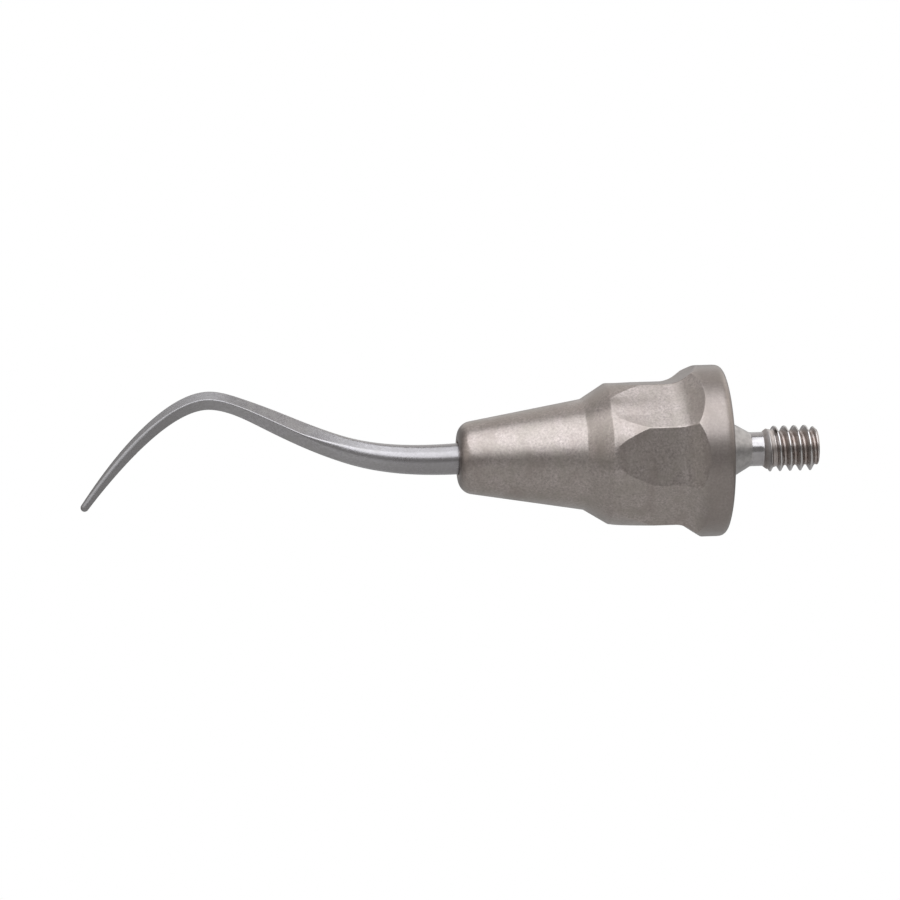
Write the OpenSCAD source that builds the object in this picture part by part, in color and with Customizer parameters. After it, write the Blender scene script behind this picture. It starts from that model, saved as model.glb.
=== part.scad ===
// Screw-on tip of an ultrasonic scaler, in millimetres.
// The long axis is X: the threaded stud points to +X and the working blade to -X.
// The blade is bent in the XZ plane with its hook pointing to -Z.
// The origin is the centre of the flange's rear face.

/* [Body] */
// Radius of the rear flange
flange_r = 5.34; // [4.5:0.01:6.5]
// Length of the body from the flange's rear face to the nose
body_len = 16.57; // [14:0.01:20]
// Number of wrench flats
flats_n = 8; // [6:2:10]
// Width across the wrench flats, for an 11/32 inch spanner
flats_w = 8.73; // [8:0.01:9.5]
// Turn of the wrench flats about the long axis
flats_turn = 41; // [0:0.1:45]
// Radius of the turned land where it starts, in front of the flats
land_r = 4.38; // [4:0.01:4.8]
// Where the land starts, in front of the rear face
land_x = 7.33; // [6:0.01:8.5]
// Half angle of the land, which widens to the rear
land_angle = 8.3; // [4:0.1:12]
// How far the milled flats sit below the axis
flats_drop = 0.055; // [0:0.005:0.1]
// Radius of the fillet where a flat at mid height runs out into the flange
runout_r = 1.7; // [1.2:0.05:2.5]
// Where that fillet starts, in front of the rear face
runout_x = 3.52; // [2.5:0.01:4.2]
// Slope of the run-out above the fillet
runout_slope = 35; // [30:1:60]
// How much further forward the run-out starts on the highest flat
runout_drift = 0.22; // [0:0.01:0.8]
// How much larger the fillet is on the highest flat
runout_spread = 0.2; // [0:0.05:1.2]
// Where the flare behind the nose cone starts
flare_x = 8.85; // [8:0.01:10]
// Radius of the nose cone at its rear end
cone_rear_r = 3.44; // [3:0.01:4]
// Half angle of the nose cone
cone_angle = 9.66; // [5:0.01:15]
// Rounding of the nose
nose_round = 0.92; // [0.4:0.01:1.4]
// Rounding of the flange's rear edge
flange_round = 0.5; // [0.1:0.01:0.7]
// Radius of the hole in the nose, round which the water leaves
nose_hole_r = 1.14; // [1.05:0.01:1.4]
// Length of the nose hole
nose_hole_len = 3.4; // [2:0.1:5]
// Radius of the water space inside the body
plenum_r = 1.9; // [1.7:0.05:2.1]
// Radius of the shallow recess in the rear face
recess_r = 4.2; // [3:0.05:4.5]
// Depth of that recess
recess_depth = 0.8; // [0.3:0.05:1.5]

/* [Stud] */
// Major radius of the thread, number 4-40
thread_r = 1.4224; // [1:0.0001:2]
// Radius at the bottom of the thread
thread_root_r = 1.055; // [0.9:0.005:1.2]
// Pitch of the thread, 40 turns an inch
thread_pitch = 0.635; // [0.4:0.005:0.8]
// Where the thread's start cone leaves the neck, behind the rear face
thread_x = 2.5; // [2:0.01:3]
// Half angle of that start cone
start_angle = 38; // [20:1:45]
// Radius of the groove where it runs out into the start cone
shallow_r = 1.33; // [1.1:0.01:1.4]
// Length over which the groove gets to its full depth
shallow_len = 1.1; // [0.3:0.05:1.2]
// Where the stud ends, behind the rear face
stud_end_x = 5.95; // [5:0.01:7]
// Radius of the plain neck
neck_r = 1.06; // [0.8:0.01:1.2]
// Where the seat cone meets the neck
neck_x = 1.7; // [1:0.01:2]
// Half angle of the seat cone
seat_angle = 30; // [20:0.5:45]
// Radius of the collar pressed into the body
collar_r = 2.0; // [1.8:0.05:2.4]
// Length of the collar
collar_len = 4.2; // [3:0.1:6]
// Radius of the shoulder that stops in the recess
shoulder_r = 2.6; // [2.3:0.05:3]
// Thickness of the shoulder
shoulder_t = 0.4; // [0.2:0.05:0.7]
// Radius of the front barrel that holds the tip
barrel_r = 1.55; // [1.3:0.05:1.7]
// Front end of the barrel, in front of the rear face
barrel_x = 12; // [10:0.1:13]
// Radius of the water way along the stud
water_r = 0.4; // [0.25:0.01:0.5]
// Radius of the cross drilling into the water space
cross_r = 0.3; // [0.2:0.01:0.4]
// Where the cross drilling is, in front of the rear face
cross_x = 6.5; // [5.6:0.1:7]

/* [Tip] */
// Radius of the round shank at the nose
shank_r = 0.985; // [0.7:0.005:1.1]
// Radius of the tail that is brazed into the barrel
tail_r = 0.75; // [0.5:0.01:0.9]
// Length of that tail
tail_len = 4.4; // [3:0.1:5]
// Where the shank starts to bend, in front of the rear face
bend_x = 15.6; // [15:0.1:17]
// Dip of the shank after that start
bend_dip = 0.17; // [0:0.01:0.5]
// Where the first bend turns into the second, in front of the rear face
mid_x = 23.6; // [22:0.1:25]
// Rise of the tip there
mid_z = 0.75; // [0:0.01:2]
// Slope of the tip there
mid_slope = 18.3; // [5:0.1:30]
// Crest of the second bend, in front of the rear face
crest_x = 31.86; // [30:0.01:34]
// Rise of the crest
crest_z = 3.99; // [2:0.01:5]
// Point of the tip, in front of the rear face
end_x = 39.6; // [37:0.01:42]
// Height of the point
end_z = -2.34; // [-5:0.01:0]
// Slope of the blade at its point
end_slope = 53.2; // [40:0.1:65]
// Half angle of the round strip left at each ridge of the blade
ridge_strip = 4; // [2:1:15]
// Half angle of that strip at the shank
shank_strip = 34; // [20:1:40]
// Half angle of that strip at the point
point_strip = 28; // [10:1:40]

/* [Hidden] */
$fn = 96;
eps = 0.01;
// how far a cut runs past the surface it opens
through = 1;
flat_h = flats_w / 2;
nose_x = -body_len;
cone_k = tan(cone_angle);
// centre of the nose rounding, tangent to the nose face and to the cone
round_cx = nose_x + nose_round;
round_cr = cone_rear_r + (round_cx + flare_x) * cone_k - nose_round / cos(cone_angle);
round_tx = round_cx - nose_round * sin(cone_angle);
round_tr = round_cr + nose_round * cos(cone_angle);
land_k = tan(land_angle);
step_x = -3.4;
top_h = flange_r + through;
cutter_w = 6.6;
cutter_run = 0.8;
fit_gap = 0.01;
seat_k = tan(seat_angle);
collar_x = -recess_depth - collar_len;
socket_gap = 0.1;
socket_x = -barrel_x + tail_len + socket_gap;
barrel_chamfer = 0.2;
collar_chamfer = 0.1;
tail_chamfer = 0.15;
water_end_x = -cross_x - 0.6;
// the thread is a chain of short sectors, each a step further along the helix
thread_steps = 24;
step_angle = 360 / thread_steps;
step_overlap = 0.3;
first_crest_x = 2.5;
full_x = thread_x + (thread_r + eps - neck_r) / tan(start_angle);
// where the shallow end of the groove meets the start cone
shallow_k = (shallow_r - thread_root_r) / shallow_len;
meet_x = (shallow_r - neck_r) / (tan(start_angle) + shallow_k);
meet_r = neck_r + meet_x * tan(start_angle);
thread_sink = 0.02;
ridge_n = ceil((stud_end_x + thread_pitch - first_crest_x) / thread_pitch * thread_steps);
crest_half = thread_pitch / 16;
flank_k = tan(30);
ridge_foot_r = thread_root_r - 0.1;
ridge_foot_half = crest_half + (thread_r - ridge_foot_r) * flank_k;
thread_chamfer = 0.3;

// draws a turned shape, given as (x, r) outlines, about the long axis
module turned(angle = 360) {
    rotate([90, 0, 90]) rotate_extrude(angle = angle) rotate(90) mirror([0, 1]) children();
}

// a round bar along X
module bar(x0, x1, r) {
    translate([x0, 0, 0]) rotate([0, 90, 0]) cylinder(h = x1 - x0, r = r);
}

// ---- body ----
// points of an arc in (x, r), from one angle to another
function arc(cx, cr, r, a0, a1, n) =
    [for (i = [0:n]) let (a = a0 + (a1 - a0) * i / n) [cx + r * cos(a), cr + r * sin(a)]];

module body_outline() {
    polygon(concat(
        [[nose_x, 0]],
        arc(round_cx, round_cr, nose_round, 180, 90 + cone_angle, 12),
        [
            [-flare_x, cone_rear_r],
            [-land_x, land_r],
            [step_x, land_r + (step_x + land_x) * land_k],
            [step_x, flange_r]
        ],
        arc(-flange_round, flange_r - flange_round, flange_round, 90, 0, 8),
        [[0, 0]]
    ));
}

// the path of the form cutter that mills one flat; rise is 1 for the highest flat and -1 for the lowest
module flat_cutter(rise) {
    r = runout_r + runout_spread * rise;
    x = -runout_x - runout_drift * rise;
    h = flat_h - flats_drop * rise;
    arc_h = h + r * (1 - cos(runout_slope));
    top_x = x + r * sin(runout_slope) + (top_h - arc_h) / tan(runout_slope);
    rotate([90, 0, 0]) translate([0, 0, -cutter_w / 2]) linear_extrude(cutter_w) polygon(concat(
        [[-land_x - cutter_run, h]],
        arc(x, h + r, r, 270, 270 + runout_slope, 12),
        [[top_x, top_h], [-land_x - cutter_run, top_h]]
    ));
}

module wrench_body() color([0.55, 0.52, 0.49]) difference() {
    turned() body_outline();
    for (i = [1:flats_n]) let (turn = 90 - flats_turn + 360 * i / flats_n)
        rotate([turn, 0, 0]) flat_cutter(cos(turn));
    bar(nose_x - through, nose_x + nose_hole_len + eps, nose_hole_r);
    bar(nose_x + nose_hole_len, collar_x, plenum_r);
    bar(collar_x - eps, through, collar_r + fit_gap);
    bar(-recess_depth, through, recess_r);
}

// ---- stud ----
module stud_outline() {
    polygon([
        [-barrel_x, 0],
        [-barrel_x, barrel_r - barrel_chamfer],
        [-barrel_x + barrel_chamfer, barrel_r],
        [collar_x, barrel_r],
        [collar_x, collar_r - collar_chamfer],
        [collar_x + collar_chamfer, collar_r],
        [-recess_depth, collar_r],
        [-recess_depth, shoulder_r],
        [-recess_depth + shoulder_t, shoulder_r],
        [-recess_depth + shoulder_t, neck_r + (neck_x + recess_depth - shoulder_t) * seat_k],
        [neck_x, neck_r],
        [thread_x, neck_r],
        [thread_x + meet_x, meet_r - thread_sink],
        [thread_x + shallow_len, thread_root_r],
        [stud_end_x, thread_root_r],
        [stud_end_x, 0]
    ]);
}

// the space that the thread fills, chamfered at both ends
module thread_room() {
    polygon([
        [thread_x, 0],
        [thread_x, neck_r - thread_sink],
        [full_x, thread_r + eps],
        [stud_end_x - thread_chamfer - eps, thread_r + eps],
        [stud_end_x, thread_r - thread_chamfer],
        [stud_end_x, 0]
    ]);
}

// the right-handed V thread, crest up, in steps along its helix
module thread_ridge() {
    for (i = [0:ridge_n]) translate([first_crest_x + (i / thread_steps - 0.5) * thread_pitch, 0, 0])
        rotate([step_angle * i, 0, 0]) turned(step_angle + step_overlap) polygon([
            [-ridge_foot_half, ridge_foot_r],
            [-crest_half, thread_r],
            [crest_half, thread_r],
            [ridge_foot_half, ridge_foot_r]
        ]);
}

module threaded_stud() color([0.72, 0.70, 0.66]) difference() {
    union() {
        turned() stud_outline();
        intersection() {
            turned() thread_room();
            thread_ridge();
        }
    }
    bar(water_end_x, stud_end_x + through, water_r);
    bar(-barrel_x - through, socket_x, tail_r + fit_gap);
    translate([-cross_x, 0, 0]) cylinder(h = 2 * barrel_r + through, r = cross_r, center = true);
}

// ---- tip ----
// control points of the three bends, as (x, z); the reaches say how far each bend holds its direction
mid_d = [cos(mid_slope), -sin(mid_slope)];
end_d = [cos(end_slope), sin(end_slope)];
p_start = [-bend_x, 0];
p_mid = [-mid_x, mid_z];
p_crest = [-crest_x, crest_z];
p_end = [-end_x, end_z];
start_reach = [3.4, bend_dip];
mid_reach_in = 2.3;
mid_reach_out = 3.62;
crest_reach_in = [1.84, 0];
crest_reach_out = [2.24, 0];
end_reach = 4.3;
bends = [
    [p_start, p_start - start_reach, p_mid + mid_reach_in * mid_d, p_mid],
    [p_mid, p_mid - mid_reach_out * mid_d, p_crest + crest_reach_in, p_crest],
    [p_crest, p_crest - crest_reach_out, p_end + end_reach * end_d, p_end]
];
// thickness along the bends, as (bend number, thickness)
thick = [
    [0, 1.97], [0.5, 1.79], [1, 1.57], [1.4, 1.37], [1.7, 1.12],
    [2, 1.12], [2.35, 0.97], [2.7, 0.76], [3, 0.5]
];
// angle of the side ridges above the middle of the section
ridge = [[0, -6], [1, -8], [1.3, -5], [2, 2], [2.4, 10], [3, 16]];
// half angle of the round strip that the four ground facets leave at each ridge
strip = [
    [0, shank_strip], [0.6, shank_strip - 3], [1, shank_strip - 9], [1.1, 16],
    [1.25, ridge_strip], [2.3, ridge_strip], [3, point_strip]
];
// stations along the blade and points round each of its sections
n_st = 45;
n_pt = 20;
// narrowest half facet, and the widest angle from a facet's middle that is still on it
min_half = 0.2;
max_reach = 80;
// the blade's first sections, sunk into the shank
root_shrink = 0.97;
start_shrink = 0.99;
root_sink = 0.3;
// the rounded point
cap = 4;
cap_len = 0.26;
cap_angle = 85;

function bez(b, t) = pow(1 - t, 3) * b[0] + 3 * t * pow(1 - t, 2) * b[1]
    + 3 * t * t * (1 - t) * b[2] + pow(t, 3) * b[3];
function dbez(b, t) = 3 * pow(1 - t, 2) * (b[1] - b[0]) + 6 * t * (1 - t) * (b[2] - b[1])
    + 3 * t * t * (b[3] - b[2]);
function pick(s) = min(2, floor(s));
function at(s) = bez(bends[pick(s)], s - pick(s));
function unit(v) = v / norm(v);
function along(s) = unit(dbez(bends[pick(s)], s - pick(s)));

// five points of the section from one ridge towards the next: strip, facet, strip
function facet(r, a0, a1, b) = let (
    m = (a0 + a1) / 2,
    half = max(min_half, (a1 - a0) / 2 - b)
) [for (a = [a0, m - half, m, m + half, (m + half + a1) / 2])
    let (q = min(r, r * cos(half) / cos(min(max_reach, abs(a - m))))) q * [cos(a), sin(a)]];

// one section of the blade: s places it, k shrinks it, d moves it on along the blade
function section(s, k, d) = let (
    t = along(s),
    n = [t[1], -t[0]],
    c = at(s) + d * t,
    r = k * lookup(s, thick) / 2,
    a = lookup(s, ridge),
    b = lookup(s, strip),
    corners = [a, 90, 180 - a, 270, 360 + a]
) [for (j = [0:3]) each [for (p = facet(r, corners[j], corners[j + 1], b))
    [c[0] + p[1] * n[0], p[0], c[1] + p[1] * n[1]]]];

module blade() {
    rings = concat(
        [section(0, root_shrink, -root_sink)],
        [for (i = [0:n_st]) section(3 * i / n_st, i == 0 ? start_shrink : 1, 0)],
        [for (i = [1:cap]) section(3, cos(cap_angle * i / cap), cap_len * sin(cap_angle * i / cap))]
    );
    m = len(rings);
    pts = [for (r = rings) each r];
    sides = [for (i = [0:m - 2], j = [0:n_pt - 1]) let (k = (j + 1) % n_pt, a = n_pt * i)
        each [[a + j, a + k, a + n_pt + k], [a + j, a + n_pt + k, a + n_pt + j]]];
    front = [for (j = [0:n_pt - 1]) n_pt - 1 - j];
    back = [for (j = [0:n_pt - 1]) n_pt * (m - 1) + j];
    polyhedron(pts, concat(sides, [front, back]));
}

module scaler_tip() color([0.63, 0.63, 0.64]) {
    blade();
    bar(-bend_x, -barrel_x, shank_r);
    turned() polygon([
        [-barrel_x - eps, 0],
        [-barrel_x - eps, tail_r],
        [-barrel_x + tail_len - tail_chamfer, tail_r],
        [-barrel_x + tail_len, tail_r - tail_chamfer],
        [-barrel_x + tail_len, 0]
    ]);
}

wrench_body();
threaded_stud();
scaler_tip();
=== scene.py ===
"""Looks of the screw-on tip of an ultrasonic scaler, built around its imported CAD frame.

Sizes are in millimetres in the row frame and become metres when a mesh is made.
The long axis is X, the threaded stud points to +X and the blade to -X.
"""
import math

import bmesh
import bpy
import numpy as np
from mathutils import Matrix, Vector


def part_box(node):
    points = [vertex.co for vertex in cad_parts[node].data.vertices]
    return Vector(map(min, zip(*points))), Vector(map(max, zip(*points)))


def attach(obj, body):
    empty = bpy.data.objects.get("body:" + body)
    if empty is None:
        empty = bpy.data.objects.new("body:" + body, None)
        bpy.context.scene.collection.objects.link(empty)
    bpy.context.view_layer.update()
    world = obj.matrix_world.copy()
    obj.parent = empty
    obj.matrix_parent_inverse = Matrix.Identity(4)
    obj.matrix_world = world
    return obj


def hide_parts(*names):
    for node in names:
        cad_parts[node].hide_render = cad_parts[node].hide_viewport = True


MM = 0.001
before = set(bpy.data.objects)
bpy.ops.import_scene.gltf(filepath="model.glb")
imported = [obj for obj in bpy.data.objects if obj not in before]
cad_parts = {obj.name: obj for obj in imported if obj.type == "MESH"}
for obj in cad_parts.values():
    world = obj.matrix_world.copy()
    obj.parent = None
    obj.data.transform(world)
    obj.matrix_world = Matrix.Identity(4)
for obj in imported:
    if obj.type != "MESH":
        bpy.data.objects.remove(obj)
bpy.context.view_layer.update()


def mm_box(node):
    """A CAD node's lowest and highest corners, in millimetres."""
    low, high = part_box(node)
    return np.array(low) / MM, np.array(high) / MM


BODY_LOW = mm_box("wrench_body")[0]
STUD_LOW, STUD_HIGH = mm_box("threaded_stud")
TIP_HIGH = mm_box("scaler_tip")[1]
# the space between one piece and the next, which braze or a press fit closes
GAP = 0.01

# ---- sizes of the body ----
NOSE_X = BODY_LOW[0]
FLANGE_R = 5.34
FLATS = 8
FLAT_H = 8.73 / 2
FLATS_TURN = 41
LAND_R, LAND_X, LAND_ANGLE = 4.38, -7.33, 8.3
# how far the milled flats sit below the axis
FLATS_DROP = 0.055
RUNOUT_R, RUNOUT_X, RUNOUT_SLOPE = 1.7, -3.52, 35
# how much the upper flats run out further forward, and in a larger fillet
RUNOUT_DRIFT, RUNOUT_SPREAD = 0.22, 0.2
FLARE_R, FLARE_X = 3.44, -8.85
CONE_ANGLE = 9.66
NOSE_ROUND, FLANGE_ROUND = 0.92, 0.55
HOLE_R, HOLE_LEN = 1.14, 3.4
PLENUM_R = 1.9
RECESS_R, RECESS_DEPTH = 4.2, 0.8

# ---- sizes of the stud ----
THREAD_R, ROOT_R, PITCH = 1.4224, 1.055, 0.635
THREAD_X = 2.85
START_X, START_ANGLE = 2.5, 38
SHALLOW_R, SHALLOW_LEN = 1.33, 1.1
CREST_X = THREAD_X - 0.35
CREST_HALF = PITCH / 16
END_X = STUD_HIGH[0]
NECK_R, NECK_X, SEAT_ANGLE = 1.06, 1.7, 30
COLLAR_R, COLLAR_LEN = 2.0, 4.2
SHOULDER_R, SHOULDER_T = 2.6, 0.4
BARREL_R, BARREL_X = 1.55, STUD_LOW[0]
SOCKET_LEN = 4.5
WATER_R = 0.4
# the space over the crests, the bevel at the stud's end and where its thread stops short of that end
CREST_ROOM, END_BEVEL, END_STOP = 0.01, 0.3, 0.05
# (distance in front of the end, how much smaller than the row before) of the end's rounded edge
END_EDGE = [(0.015, 0.015), (0, 0.04)]

# ---- sizes of the tip ----
SHANK_R, TAIL_R, TAIL_X = 0.985, 0.75, TIP_HIGH[0]
BEND_X, BEND_DIP = -15.6, 0.17
MID, MID_SLOPE = (-23.6, 0.75), 18.3
CREST = (-31.86, 3.99)
POINT, POINT_SLOPE = (-39.6, -2.34), 53.2
# how far the bends hold their direction at their start, on both sides of MID and CREST, and at the point
START_REACH, MID_REACHES, CREST_REACHES, POINT_REACH = 3.4, (2.3, 3.62), (1.84, 2.24), 4.3
# tables of (place along the three bends, value there): the thickness in millimetres,
# the angle of the side ridges and half the angle of the round strip left at each ridge
THICK = [(0, 1.97), (0.5, 1.79), (1, 1.57), (1.4, 1.37), (1.7, 1.12),
         (2, 1.12), (2.35, 0.97), (2.7, 0.76), (3, 0.5)]
RIDGE = [(0, -6), (1, -8), (1.3, -5), (2, 2), (2.4, 10), (3, 16)]
STRIP = [(0, 34), (0.6, 31), (1, 25), (1.1, 16), (1.25, 4), (2.3, 4), (3, 28)]
# half angle of a strip so wide that the bar stays round
ROUND_STRIP = 90
# length of the rounded point, and its last ring's size as a share of the point's section
CAP_LEN, CAP_END = 0.26, 0.02
# rings along the bends, and along the rounded point
BEND_RINGS, CAP_RINGS = 151, 9


# ---- mesh helpers ----
def make_mesh(name, points, faces, weld=0.0):
    """A smooth-shaded mesh object from points in millimetres; weld joins points closer than that."""
    mesh = bpy.data.meshes.new(name)
    mesh.from_pydata((np.asarray(points, float) * MM).tolist(), [], faces)
    work = bmesh.new()
    work.from_mesh(mesh)
    if weld:
        bmesh.ops.remove_doubles(work, verts=work.verts, dist=weld * MM)
    bmesh.ops.recalc_face_normals(work, faces=work.faces)
    for face in work.faces:
        face.smooth = True
    work.to_mesh(mesh)
    work.free()
    obj = bpy.data.objects.new(name, mesh)
    bpy.context.scene.collection.objects.link(obj)
    return obj


def quads(rows, columns, wrap_rows=False, wrap_columns=True):
    """Faces of a grid of rows of points, with either direction closed on itself."""
    faces = []
    for i in range(rows if wrap_rows else rows - 1):
        below, above = i * columns, (i + 1) % rows * columns
        for j in range(columns if wrap_columns else columns - 1):
            k = (j + 1) % columns
            faces.append((below + j, below + k, above + k, above + j))
    return faces


def round_about_x(x, r, angles):
    """Points at the places x and radii r, at angles measured about X from +Y towards +Z, in degrees."""
    a = np.radians(angles)
    return np.stack([x, r * np.cos(a), r * np.sin(a)], axis=-1)


# least reach of a fillet in millimetres, and its greatest as a share of the shorter side
SHORTEST_REACH, LONGEST_REACH = 0.002, 0.45


def fillet_reach(back, ahead, fillet):
    """How far a fillet reaches along the two sides of a corner."""
    lengths = np.hypot(*back), np.hypot(*ahead)
    half = math.acos(max(-1, min(1, float(back / lengths[0] @ (ahead / lengths[1]))))) / 2
    return max(min(fillet / math.tan(half), LONGEST_REACH * min(lengths)), SHORTEST_REACH)


def rounded(corners, arc_steps=5):
    """A polyline through (x, r, fillet, steps) corners, with round corners and steps along each side."""
    path = []
    points = [np.array(c[:2], float) for c in corners]
    for i, (p, corner) in enumerate(zip(points, corners)):
        fillet = corner[2]
        if 0 < i < len(points) - 1 and fillet:
            back, ahead = points[i - 1] - p, points[i + 1] - p
            reach = fillet_reach(back, ahead, fillet)
            a, b = p + reach * back / np.hypot(*back), p + reach * ahead / np.hypot(*ahead)
            for t in np.linspace(0, 1, arc_steps + 1):
                path.append((1 - t) ** 2 * a + 2 * t * (1 - t) * p + t * t * b)
        else:
            path.append(p)
        if i < len(points) - 1:
            steps = corner[3]
            start, end = path[-1], points[i + 1]
            if i + 1 < len(points) - 1 and corners[i + 1][2]:
                back, ahead = p - end, points[i + 2] - end
                end = end + fillet_reach(back, ahead, corners[i + 1][2]) * back / np.hypot(*back)
            for t in np.arange(1, steps) / steps:
                path.append(start + t * (end - start))
    return np.array(path)


def smooth_through(table, s):
    """A smooth curve through a table of (place, value) rows, read at s."""
    x, y = np.array(table, float).T
    slope = np.gradient(y, x)
    i = int(np.clip(np.searchsorted(x, s) - 1, 0, len(x) - 2))
    width = x[i + 1] - x[i]
    t = (s - x[i]) / width
    start, end = slope[i] * width, slope[i + 1] * width
    a = y[i] * (1 + 2 * t) * (1 - t) ** 2 + start * t * (1 - t) ** 2
    return a + y[i + 1] * t * t * (3 - 2 * t) - end * t * t * (1 - t)


# ---- the wrench body ----
CORNER = 180 / FLATS
CORNER_STEPS = [0, 0.2, 0.4, 0.65, 0.95, 1.4, 2.2, 3.5, 5.5, 8, 11, 14, 17, 19.8]
CORNER_BLEND = 0.009
CONE_RISE = math.tan(math.radians(CONE_ANGLE))
LAND_RISE = math.tan(math.radians(LAND_ANGLE))


def arc(centre, radius, start, end, steps):
    """Points of an arc in (x, r), between two angles in degrees."""
    angles = np.radians(np.linspace(start, end, steps + 1))
    return [(centre[0] + radius * math.cos(a), centre[1] + radius * math.sin(a)) for a in angles]


def nose_arc():
    """The rounding between the nose face and the cone."""
    x = NOSE_X + NOSE_ROUND
    r = FLARE_R + (x - FLARE_X) * CONE_RISE - NOSE_ROUND / math.cos(math.radians(CONE_ANGLE))
    return arc((x, r), NOSE_ROUND, 180, 90 + CONE_ANGLE, 14)


def flat_reach(phi):
    """Radius of the flats at an angle phi from the middle of one, as a share of their height."""
    own = 1 / math.cos(math.radians(phi))
    other = 1 / math.cos(math.radians(2 * CORNER - abs(phi)))
    overlap = max(0, CORNER_BLEND - abs(other - own))
    return min(own, other) - overlap ** 2 / (4 * CORNER_BLEND)


def runout_rise(x, fillet):
    """How far a flat has risen, x past the place where its cutter starts to run out."""
    slope = math.radians(RUNOUT_SLOPE)
    arc_end = fillet * math.sin(slope)
    if x <= arc_end:
        return fillet - math.sqrt(fillet ** 2 - max(0, x) ** 2)
    return fillet * (1 - math.cos(slope)) + (x - arc_end) * math.tan(slope)


def runout_end(rise, fillet):
    """How far past its start the run-out has risen by so much."""
    low, high = 0.0, 5.0
    for _ in range(40):
        middle = (low + high) / 2
        low, high = (middle, high) if runout_rise(middle, fillet) < rise else (low, middle)
    return low


def body_profile(phi, middle):
    """The body's closed outline in (x, r), phi away from a flat whose middle lies at the angle middle."""
    reach = flat_reach(phi)
    lean = math.sin(math.radians(middle + phi))
    height = FLAT_H - FLATS_DROP * lean
    flat_r = height * reach
    front = max(LAND_X + (flat_r - LAND_R) / LAND_RISE, LAND_X + 0.2)
    start, fillet = RUNOUT_X - RUNOUT_DRIFT * lean, RUNOUT_R + RUNOUT_SPREAD * lean
    length = runout_end(FLANGE_R / reach - height, fillet)
    places = np.linspace(0, length, 19)[:-1]
    runout = [(start + x, (height + runout_rise(x, fillet)) * reach, 0, 1) for x in places]
    nose = nose_arc()
    hole = rounded([
        (NOSE_X + HOLE_LEN, HOLE_R, 0, 6),
        (NOSE_X, HOLE_R, 0.1, 3),
        (NOSE_X, nose[0][1], 0, 1),
    ])
    outer = rounded([
        (*nose[-1], 0, 26),
        (FLARE_X, FLARE_R, 0.3, 6),
        (LAND_X, LAND_R, 0.3, 8),
        (front, max(flat_r, LAND_R), 0.5, 18),
    ] + runout + [
        (start + length, FLANGE_R, 0.25, 8),
        (0, FLANGE_R, FLANGE_ROUND, 5),
        (0, RECESS_R, 0.08, 4),
        (-RECESS_DEPTH, RECESS_R, 0.12, 6),
        (-RECESS_DEPTH, COLLAR_R + GAP, 0.05, 4),
        (-RECESS_DEPTH - COLLAR_LEN, COLLAR_R + GAP, 0, 1),
        (-RECESS_DEPTH - COLLAR_LEN, PLENUM_R, 0, 6),
        (NOSE_X + HOLE_LEN, PLENUM_R, 0, 2),
        (NOSE_X + HOLE_LEN, (PLENUM_R + HOLE_R) / 2, 0, 1),
    ], 6)
    return np.concatenate([hole[:-1], nose[:-1], outer])


def wrench_body():
    """The hollow blasted body: nose cone, flare, eight milled flats and the rear flange."""
    half = [CORNER - s for s in CORNER_STEPS]
    sector = [-p for p in half] + [0] + half[:0:-1]
    columns = []
    for k in range(FLATS):
        # angles about X are measured from +Y; the first flat leans FLATS_TURN up from -Y
        middle = 180 - FLATS_TURN + 2 * CORNER * k
        for p in sector:
            x, r = body_profile(p, middle).T
            columns.append(round_about_x(x, r, middle + p))
    grid = np.array(columns).transpose(1, 0, 2)
    rows, count = grid.shape[:2]
    return make_mesh("blasted_body", grid.reshape(-1, 3), quads(rows, count, wrap_rows=True), weld=1e-4)


# ---- the threaded stud ----
THREAD_COLUMNS = 192


def thread_turn():
    """One pitch of the thread as (x, r) from crest to crest, with rounded corners."""
    flank = (THREAD_R - ROOT_R) * math.tan(math.radians(30))
    root = CREST_HALF + flank
    corners = [
        (-PITCH + root, ROOT_R, 0, 4),
        (-CREST_HALF, THREAD_R, 0.05, 2),
        (CREST_HALF, THREAD_R, 0.05, 4),
        (root, ROOT_R, 0.07, 3),
        (PITCH - root, ROOT_R, 0.07, 4),
        (PITCH - CREST_HALF, THREAD_R, 0.05, 2),
        (PITCH + CREST_HALF, THREAD_R, 0, 1),
    ]
    path = rounded(corners, 4)
    inside = (path[:, 0] >= 0) & (path[:, 0] < PITCH - 1e-6)
    turn = path[inside]
    return np.vstack([[0, THREAD_R], turn[turn[:, 0] > 1e-6]])


def thread_rows():
    """Rows of points round the thread, sheared along its right-handed helix and stopped at both ends."""
    turn = thread_turn()
    start, stop, over = START_X, END_X - END_STOP, THREAD_R + CREST_ROOM
    full = START_X + (over - NECK_R) / math.tan(math.radians(START_ANGLE))
    room = rounded([
        (start, NECK_R, 0, 4),
        (full, over, 0.1, 4),
        (END_X - END_BEVEL, over, 0.1, 4),
        (END_X, THREAD_R - END_BEVEL, 0, 1),
    ])
    angles = np.linspace(0, 360, THREAD_COLUMNS + 1)
    shift = PITCH * angles / 360
    first = math.floor((start - PITCH - CREST_X) / PITCH)
    last = math.ceil((stop - CREST_X) / PITCH)
    rows = []
    for n in range(first, last + 1):
        for offset in turn[:, 0]:
            x = np.clip(CREST_X + n * PITCH + offset + shift, start, stop)
            phase = (x - shift - CREST_X) % PITCH
            thread = np.interp(phase, np.append(turn[:, 0], PITCH), np.append(turn[:, 1], THREAD_R))
            shallow = np.interp(x, (START_X, START_X + SHALLOW_LEN), (SHALLOW_R, ROOT_R))
            thread = np.maximum(thread, shallow)
            r = np.minimum(thread, np.interp(x, room[:, 0], room[:, 1]))
            rows.append((x, r))
    for distance, cut in END_EDGE:
        rows.append((np.full_like(angles, END_X - distance), rows[-1][1] - cut))
    return [round_about_x(x, r, angles) for x, r in rows]


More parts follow.
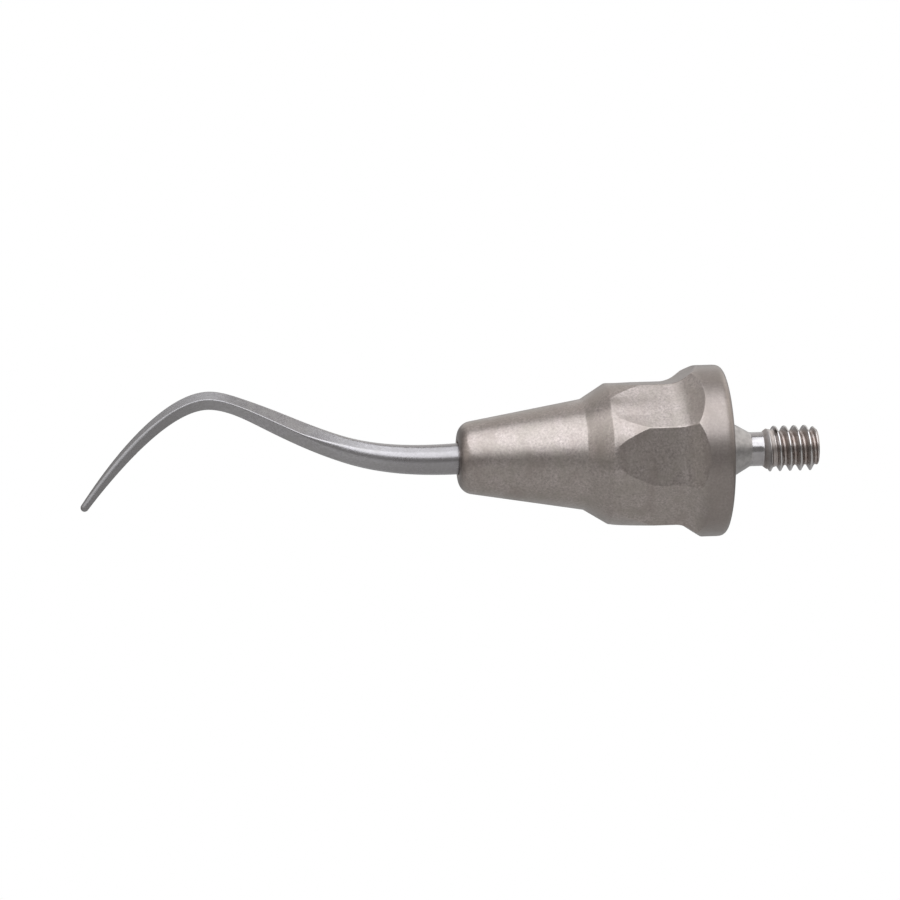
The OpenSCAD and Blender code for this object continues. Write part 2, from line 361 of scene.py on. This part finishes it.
def threaded_stud():
    """The turned stud: barrel, collar, seat cone, neck, helical thread and the water way."""
    seat = math.tan(math.radians(SEAT_ANGLE))
    collar_x = -RECESS_DEPTH - COLLAR_LEN
    shoulder_x = -RECESS_DEPTH + SHOULDER_T
    socket_x = BARREL_X + SOCKET_LEN
    angles = np.linspace(0, 360, THREAD_COLUMNS + 1)
    front = rounded([
        (socket_x, WATER_R, 0, 2),
        (socket_x, TAIL_R + GAP, 0, 6),
        (BARREL_X, TAIL_R + GAP, 0, 2),
        (BARREL_X, BARREL_R, 0.15, 8),
        (collar_x, BARREL_R, 0.05, 2),
        (collar_x, COLLAR_R, 0.1, 6),
        (-RECESS_DEPTH, COLLAR_R, 0, 1),
        (-RECESS_DEPTH, SHOULDER_R, 0.04, 3),
        (shoulder_x, SHOULDER_R, 0.06, 2),
        (shoulder_x, NECK_R + (NECK_X - shoulder_x) * seat, 0.05, 10),
        (NECK_X, NECK_R, 0.25, 6),
        (START_X - 0.01, NECK_R, 0, 1),
    ])
    rear = rounded([
        (END_X, WATER_R + 0.3, 0, 2),
        (END_X, WATER_R, 0.05, 12),
        (socket_x, WATER_R, 0, 1),
    ])
    rows = [round_about_x(np.full_like(angles, x), np.full_like(angles, r), angles) for x, r in front[:-1]]
    rows += thread_rows()
    rows += [round_about_x(np.full_like(angles, x), np.full_like(angles, r), angles) for x, r in rear[:-1]]
    grid = np.array(rows)
    count, columns = grid.shape[:2]
    faces = quads(count, columns, wrap_rows=True, wrap_columns=False)
    return make_mesh("machined_stud", grid.reshape(-1, 3), faces, weld=2e-4)


# ---- the tip ----
def bends():
    """Control points of the three bends, as (x, z)."""
    mid, crest, point = np.array(MID), np.array(CREST), np.array(POINT)
    a, b = math.radians(MID_SLOPE), math.radians(POINT_SLOPE)
    mid_way, point_way = np.array([math.cos(a), -math.sin(a)]), np.array([math.cos(b), math.sin(b)])
    start = np.array([BEND_X, 0])
    return [
        [start, start - [START_REACH, BEND_DIP], mid + MID_REACHES[0] * mid_way, mid],
        [mid, mid - MID_REACHES[1] * mid_way, crest + [CREST_REACHES[0], 0], crest],
        [crest, crest - [CREST_REACHES[1], 0], point + POINT_REACH * point_way, point],
    ]


def along_bends(s):
    """The place and direction of the tip's centre line at s, from 0 to 3."""
    k = min(2, int(s))
    t = s - k
    b = bends()[k]
    place = (1 - t) ** 3 * b[0] + 3 * t * (1 - t) ** 2 * b[1] + 3 * t * t * (1 - t) * b[2] + t ** 3 * b[3]
    way = (1 - t) ** 2 * (b[1] - b[0]) + 2 * t * (1 - t) * (b[2] - b[1]) + t * t * (b[3] - b[2])
    return place, way / np.hypot(*way)


SECTOR_STEPS = 26
STRIP_BLEND = 0.006


def tip_section(radius, ridge, strip):
    """Points (y, up) of a round bar with four ground facets that leave a narrow round strip at each ridge."""
    corners = [ridge, 90, 180 - ridge, 270, 360 + ridge]
    points = []
    for a0, a1 in zip(corners, corners[1:]):
        middle = (a0 + a1) / 2
        half = max(0, (a1 - a0) / 2 - strip)
        facet = radius * math.cos(math.radians(half))
        for j in range(SECTOR_STEPS):
            a = a0 + (a1 - a0) * (0.5 - 0.5 * math.cos(math.pi * j / SECTOR_STEPS))
            flat = facet / math.cos(math.radians(a - middle))
            overlap = max(0, STRIP_BLEND - abs(flat - radius))
            r = min(radius, flat) - (overlap ** 2 / (4 * STRIP_BLEND) if half else 0)
            points.append((r * math.cos(math.radians(a)), r * math.sin(math.radians(a))))
    return np.array(points)


def scaler_tip():
    """The one-piece tip: tail, round shank and the curved blade with its ground facets."""
    rings = []
    straight = rounded([
        (TAIL_X, 0.02, 0, 2),
        (TAIL_X, TAIL_R, 0.15, 6),
        (BARREL_X, TAIL_R, 0, 1),
        (BARREL_X, SHANK_R, 0.06, 10),
        (BEND_X, SHANK_R, 0, 1),
    ])
    for x, r in straight[:-1]:
        section = tip_section(r, RIDGE[0][1], ROUND_STRIP)
        rings.append(np.stack([np.full(len(section), x), section[:, 0], section[:, 1]], axis=-1))
    places = list(np.linspace(0, 3, BEND_RINGS))
    quarter = np.linspace(0, math.pi / 2, CAP_RINGS)[1:-1]
    shrink = [1.0] * len(places) + [math.cos(a) for a in quarter] + [CAP_END]
    advance = [0.0] * len(places) + [math.sin(a) for a in quarter] + [1.0]
    places += [3.0] * (len(shrink) - len(places))
    for s, k, d in zip(places, shrink, advance):
        centre, way = along_bends(s)
        up = np.array([way[1], -way[0]])
        ridge, strip = (np.interp(s, *zip(*table)) for table in (RIDGE, STRIP))
        section = tip_section(smooth_through(THICK, s) / 2, ridge, strip) * k
        base = centre + d * CAP_LEN * way
        x = base[0] + section[:, 1] * up[0]
        z = base[1] + section[:, 1] * up[1]
        rings.append(np.stack([x, section[:, 0], z], axis=-1))
    grid = np.array(rings)
    count, columns = grid.shape[:2]
    faces = quads(count, columns)
    faces.append(tuple(range(columns))[::-1])
    faces.append(tuple((count - 1) * columns + j for j in range(columns)))
    return make_mesh("ground_tip", grid.reshape(-1, 3), faces, weld=1e-4)


# ---- materials ----
def new_material(name):
    material = bpy.data.materials.new(name)
    material.use_nodes = True
    nodes, links = material.node_tree.nodes, material.node_tree.links
    return material, nodes, links, nodes["Principled BSDF"]


def coordinates(nodes, links, stretch=(1, 1, 1)):
    """Object coordinates in millimetres, stretched along each axis."""
    source = nodes.new("ShaderNodeTexCoord")
    mapping = nodes.new("ShaderNodeMapping")
    mapping.inputs["Scale"].default_value = [v / MM for v in stretch]
    links.new(source.outputs["Object"], mapping.inputs["Vector"])
    return mapping.outputs["Vector"]


def noise(nodes, links, vector, scale, detail=3.0, roughness=0.55):
    texture = nodes.new("ShaderNodeTexNoise")
    texture.inputs["Scale"].default_value = scale
    texture.inputs["Detail"].default_value = detail
    texture.inputs["Roughness"].default_value = roughness
    links.new(vector, texture.inputs["Vector"])
    return texture.outputs["Fac"]


def remap(nodes, links, value, low, high, out_low=0.0, out_high=1.0):
    """value, moved from the range low to high into the range out_low to out_high."""
    node = nodes.new("ShaderNodeMapRange")
    sockets = "From Min", "From Max", "To Min", "To Max"
    for socket, number in zip(sockets, (low, high, out_low, out_high)):
        node.inputs[socket].default_value = number
    links.new(value, node.inputs["Value"])
    return node.outputs["Result"]


def mixed(nodes, links, share, first, second):
    """A colour between first and second; each is a colour or another node's colour."""
    node = nodes.new("ShaderNodeMix")
    node.data_type = "RGBA"
    links.new(share, node.inputs["Factor"])
    for socket, value in ((6, first), (7, second)):
        if isinstance(value, tuple):
            node.inputs[socket].default_value = value
        else:
            links.new(value, node.inputs[socket])
    return node.outputs[2]


def maths(nodes, links, operation, first, second):
    node = nodes.new("ShaderNodeMath")
    node.operation = operation
    for socket, value in zip(node.inputs, (first, second)):
        if isinstance(value, (int, float)):
            socket.default_value = value
        else:
            links.new(value, socket)
    return node.outputs[0]


def bump(nodes, links, height, strength, distance, normal=None):
    node = nodes.new("ShaderNodeBump")
    node.inputs["Strength"].default_value = strength
    node.inputs["Distance"].default_value = distance * MM
    links.new(height, node.inputs["Height"])
    if normal is not None:
        links.new(normal, node.inputs["Normal"])
    return node.outputs["Normal"]


def axes(nodes, links, vector):
    """The X, Y and Z of a vector."""
    node = nodes.new("ShaderNodeSeparateXYZ")
    links.new(vector, node.inputs["Vector"])
    return node.outputs


def finish_metal(links, shader, colour, rough, normal):
    shader.inputs["Metallic"].default_value = 1.0
    for socket, value in (("Base Color", colour), ("Roughness", rough), ("Normal", normal)):
        links.new(value, shader.inputs[socket])


def grey(r, g, b):
    """A colour close to grey, as a node takes it."""
    return (r, g, b, 1.0)


BODY_DARK, BODY_LIGHT = grey(0.193, 0.165, 0.150), grey(0.373, 0.323, 0.295)
HANDLED, STAINED = grey(0.225, 0.200, 0.170), grey(0.205, 0.170, 0.150)
FLANGE_DARK = grey(0.176, 0.150, 0.135)
NECK_DARK, NECK_LIGHT = grey(0.27, 0.25, 0.245), grey(0.33, 0.31, 0.30)
SEAT_DARK, SEAT_LIGHT = grey(0.25, 0.235, 0.225), grey(0.33, 0.31, 0.295)
# the thread's colour, and the darker brown painted into its roots as shade
THREAD_BRIGHT, THREAD_ROOT_SHADE = grey(0.41, 0.385, 0.37), grey(0.26, 0.21, 0.185)
TIP_DARK, TIP_LIGHT = grey(0.245, 0.230, 0.228), grey(0.315, 0.297, 0.295)
# the middle colour is painted shade that darkens the blade towards its point
TIP_SPOTS, TIP_POINT_SHADE, TIP_SHANK = grey(0.25, 0.24, 0.22), grey(0.20, 0.19, 0.185), grey(0.205, 0.190, 0.188)
PAPER_DARK, PAPER_LIGHT = grey(0.50, 0.50, 0.495), grey(0.54, 0.54, 0.535)
# where one look fades into the next along X: before the flange, past the thread's start cone,
# on the tip's shank, and behind the blade's crest, where painted shade darkens the point
FLANGE_FADE = (-2.2, -1.6)
START_CONE_FADE = (START_X + 0.5, START_X + 0.3)
SHANK_FADE = (-22.5, -19.5)
POINT_SHADE_FADE = (CREST[0] + 1.5, CREST[0] - 2.5)


def blasted_steel():
    """Bead-blasted stainless steel: warm grey, fine pits, faint turning marks and handling marks."""
    material, nodes, links, shader = new_material("blasted_steel")
    place = coordinates(nodes, links)
    pits = noise(nodes, links, place, 9.0, 2.0, 0.6)
    grain = noise(nodes, links, place, 7.0, 4.0, 0.7)
    patches = noise(nodes, links, place, 0.9, 4.0)
    turning = noise(nodes, links, coordinates(nodes, links, (5.0, 0.12, 0.12)), 1.0, 2.0)
    stains = noise(nodes, links, coordinates(nodes, links, (0.7, 0.3, 0.3)), 1.0, 3.0, 0.6)
    layers = [
        (remap(nodes, links, patches, 0.35, 0.7, 0.0, 0.6), HANDLED),
        (remap(nodes, links, stains, 0.5, 0.65, 0.0, 0.45), STAINED),
        (remap(nodes, links, axes(nodes, links, place)["X"], *FLANGE_FADE, 0.0, 0.6), FLANGE_DARK),
    ]
    colour = mixed(nodes, links, remap(nodes, links, grain, 0.3, 0.7), BODY_DARK, BODY_LIGHT)
    for share, tint in layers:
        colour = mixed(nodes, links, share, colour, tint)
    rough = maths(nodes, links, "ADD", remap(nodes, links, patches, 0.3, 0.7, 0.32, 0.38),
                  remap(nodes, links, grain, 0.3, 0.7, -0.02, 0.04))
    normal = bump(nodes, links, pits, 0.25, 0.008)
    normal = bump(nodes, links, grain, 0.30, 0.02, normal)
    normal = bump(nodes, links, turning, 0.15, 0.01, normal)
    finish_metal(links, shader, colour, rough, normal)
    return material


def radius_about_x(nodes, links, parts):
    """Distance from the X axis, from the X, Y and Z of a place."""
    y, z = parts["Y"], parts["Z"]
    squares = maths(nodes, links, "ADD", maths(nodes, links, "MULTIPLY", y, y),
                    maths(nodes, links, "MULTIPLY", z, z))
    return maths(nodes, links, "SQRT", squares, 0.0)


def machined_steel():
    """Bright turned steel: fine turning lines, painted shade (darker and browner) deep in the thread roots
    and a dull grey-green seat.
    """
    material, nodes, links, shader = new_material("machined_steel")
    place = coordinates(nodes, links)
    lines = noise(nodes, links, coordinates(nodes, links, (22.0, 0.3, 0.3)), 1.0, 2.0)
    spots = noise(nodes, links, place, 3.0, 3.0)
    parts = axes(nodes, links, place)
    radius = radius_about_x(nodes, links, parts)
    in_thread = remap(nodes, links, parts["X"], START_X - 0.05, START_X + 0.1)
    deep = remap(nodes, links, radius, THREAD_R - 0.05, ROOT_R + 0.02)
    root = maths(nodes, links, "MULTIPLY", in_thread, deep)
    # painted shade: the colour turns darker and browner deeper into the thread roots, which are also made
    # rougher
    root_shade = maths(nodes, links, "MULTIPLY", root, remap(nodes, links, spots, 0.3, 0.6, 0.45, 1.0))
    seat = remap(nodes, links, parts["X"], NECK_X + 0.1, NECK_X - 0.1)
    colour = mixed(nodes, links, remap(nodes, links, spots, 0.3, 0.7), NECK_DARK, NECK_LIGHT)
    colour = mixed(nodes, links, in_thread, colour, THREAD_BRIGHT)
    colour = mixed(nodes, links, root_shade, colour, THREAD_ROOT_SHADE)
    seat_colour = mixed(nodes, links, remap(nodes, links, spots, 0.35, 0.65), SEAT_DARK, SEAT_LIGHT)
    colour = mixed(nodes, links, seat, colour, seat_colour)
    rough = maths(nodes, links, "ADD", remap(nodes, links, root_shade, 0.0, 1.0, 0.18, 0.42),
                  remap(nodes, links, seat, 0.0, 1.0, 0.0, 0.22))
    dull = maths(nodes, links, "MULTIPLY", in_thread,
                 remap(nodes, links, parts["X"], *START_CONE_FADE, 0.0, 0.35))
    rough = maths(nodes, links, "ADD", rough, dull)
    normal = bump(nodes, links, lines, 0.35, 0.006)
    normal = bump(nodes, links, spots, 0.15, 0.02, normal)
    finish_metal(links, shader, colour, rough, normal)
    return material


def tip_steel():
    """Hardened tip steel: satin, slightly blue, with fine grinding marks and small spots."""
    material, nodes, links, shader = new_material("tip_steel")
    place = coordinates(nodes, links)
    grain = noise(nodes, links, place, 7.0, 3.0)
    spots = noise(nodes, links, place, 1.6, 3.0)
    marks = noise(nodes, links, coordinates(nodes, links, (14.0, 1.2, 1.2)), 1.0, 2.0)
    along = axes(nodes, links, place)["X"]
    # painted shade: the blade's colour darkens towards its point, and the same mask makes the point rougher
    point_shade_and_dull = remap(nodes, links, along, *POINT_SHADE_FADE)
    layers = [
        (remap(nodes, links, spots, 0.45, 0.75, 0.0, 0.4), TIP_SPOTS),
        (remap(nodes, links, point_shade_and_dull, 0.0, 1.0, 0.0, 0.8), TIP_POINT_SHADE),
        (remap(nodes, links, along, *SHANK_FADE, 0.0, 0.5), TIP_SHANK),
    ]
    colour = mixed(nodes, links, remap(nodes, links, grain, 0.3, 0.7), TIP_DARK, TIP_LIGHT)
    for share, tint in layers:
        colour = mixed(nodes, links, share, colour, tint)
    rough = maths(nodes, links, "ADD", remap(nodes, links, spots, 0.3, 0.7, 0.26, 0.32),
                  remap(nodes, links, point_shade_and_dull, 0.0, 1.0, 0.0, 0.16))
    normal = bump(nodes, links, marks, 0.12, 0.005)
    normal = bump(nodes, links, grain, 0.2, 0.010, normal)
    finish_metal(links, shader, colour, rough, normal)
    return material


FLOOR_HALF, FLOOR_Z, FLOOR_FADE = 450, -120, (440, 320)


def paper():
    """The pale floor, which fades out towards its edge."""
    material, nodes, links, shader = new_material("paper")
    fibre = noise(nodes, links, coordinates(nodes, links), 0.02, 3.0)
    colour = mixed(nodes, links, fibre, PAPER_DARK, PAPER_LIGHT)
    links.new(colour, shader.inputs["Base Color"])
    shader.inputs["Roughness"].default_value = 0.9
    spread = nodes.new("ShaderNodeVectorMath")
    spread.operation = "LENGTH"
    links.new(coordinates(nodes, links), spread.inputs[0])
    links.new(remap(nodes, links, spread.outputs["Value"], *FLOOR_FADE), shader.inputs["Alpha"])
    return material


# ---- the studio ----
CAMERA_AIM = Vector((-17.026, 0, 0.517)) * MM
CAMERA_AZIMUTH, CAMERA_ELEVATION, CAMERA_ROLL = (math.radians(a) for a in (-5.364, -0.036, 1.732))
CAMERA_DISTANCE = 218 * MM
# focal length and sensor width in millimetres, and the nearest distance drawn in metres
CAMERA_LENS, SENSOR_WIDTH, CLIP_START = 140.97, 36, 0.005
WHITE = (1, 1, 1)
LIGHT_DISTANCE = 0.45
# name, azimuth, elevation, roll, width, height, radiance, colour; angles in degrees, sizes in metres
LIGHTS = [
    ("key", -14, 50, 22, 0.57, 0.65, 3.05, (0.88, 0.93, 1)),
    ("rim", 170, 50, 0, 0.6, 0.5, 0.72, WHITE),
    ("left", -72, 26, 0, 0.42, 0.5, 0.7, WHITE),
    ("fill", 58, 36, 0, 0.4, 0.45, 0.9, WHITE),
    ("right", 104, 34, 0, 0.52, 0.48, 0.95, WHITE),
]
WORLD_COLOUR, WORLD_STRENGTH = (0.97, 0.98, 1, 1), 0.42


def view_axes(azimuth, elevation):
    """Right, up and back of a view at these angles; azimuth 0 looks along +Y."""
    right = Vector((math.cos(azimuth), math.sin(azimuth), 0))
    back = Vector((math.sin(azimuth) * math.cos(elevation), -math.cos(azimuth) * math.cos(elevation),
                   math.sin(elevation)))
    return right, back.cross(right), back


def place_camera():
    right, up, back = view_axes(CAMERA_AZIMUTH, CAMERA_ELEVATION)
    c, s = math.cos(CAMERA_ROLL), math.sin(CAMERA_ROLL)
    camera = bpy.data.objects.new("camera", bpy.data.cameras.new("camera"))
    bpy.context.scene.collection.objects.link(camera)
    turn = Matrix((c * right - s * up, s * right + c * up, back)).transposed().to_4x4()
    camera.matrix_world = Matrix.Translation(CAMERA_AIM + CAMERA_DISTANCE * back) @ turn
    camera.data.lens = CAMERA_LENS
    camera.data.sensor_width = SENSOR_WIDTH
    camera.data.clip_start = CLIP_START
    bpy.context.scene.camera = camera


def soft_box(name, azimuth, elevation, roll, width, height, radiance, colour):
    """A rectangular area light that faces the object from an azimuth and elevation."""
    right, up, back = view_axes(math.radians(azimuth), math.radians(elevation))
    c, s = math.cos(math.radians(roll)), math.sin(math.radians(roll))
    right, up = c * right + s * up, c * up - s * right
    light = bpy.data.lights.new(name, "AREA")
    light.shape = "RECTANGLE"
    light.size, light.size_y = width, height
    light.energy = radiance * math.pi * width * height
    light.color = colour
    obj = bpy.data.objects.new(name, light)
    bpy.context.scene.collection.objects.link(obj)
    turn = Matrix((right, up, back)).transposed().to_4x4()
    obj.matrix_world = Matrix.Translation(CAMERA_AIM + LIGHT_DISTANCE * back) @ turn
    obj.visible_camera = False


def studio():
    scene = bpy.context.scene
    scene.view_settings.view_transform = "Standard"
    scene.view_settings.look = "None"
    world = bpy.data.worlds.new("studio")
    scene.world = world
    world.use_nodes = True
    nodes, links = world.node_tree.nodes, world.node_tree.links
    seen, lit = nodes["Background"], nodes.new("ShaderNodeBackground")
    seen.inputs["Color"].default_value = (1, 1, 1, 1)
    lit.inputs["Color"].default_value = WORLD_COLOUR
    lit.inputs["Strength"].default_value = WORLD_STRENGTH
    rays, mix = nodes.new("ShaderNodeLightPath"), nodes.new("ShaderNodeMixShader")
    links.new(rays.outputs["Is Camera Ray"], mix.inputs["Fac"])
    links.new(lit.outputs[0], mix.inputs[1])
    links.new(seen.outputs[0], mix.inputs[2])
    links.new(mix.outputs[0], nodes["World Output"].inputs["Surface"])
    for light in LIGHTS:
        soft_box(*light)
    corners = [(x * FLOOR_HALF, y * FLOOR_HALF, FLOOR_Z) for x, y in ((-1, -1), (1, -1), (1, 1), (-1, 1))]
    floor = make_mesh("floor", corners, [(0, 1, 2, 3)])
    floor.data.materials.append(paper())


# ---- the object ----
def finish_piece(piece, material, node):
    piece.data.materials.append(material)
    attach(piece, "root")
    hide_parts(node)


place_camera()
finish_piece(wrench_body(), blasted_steel(), "wrench_body")
finish_piece(threaded_stud(), machined_steel(), "threaded_stud")
finish_piece(scaler_tip(), tip_steel(), "scaler_tip")
studio()
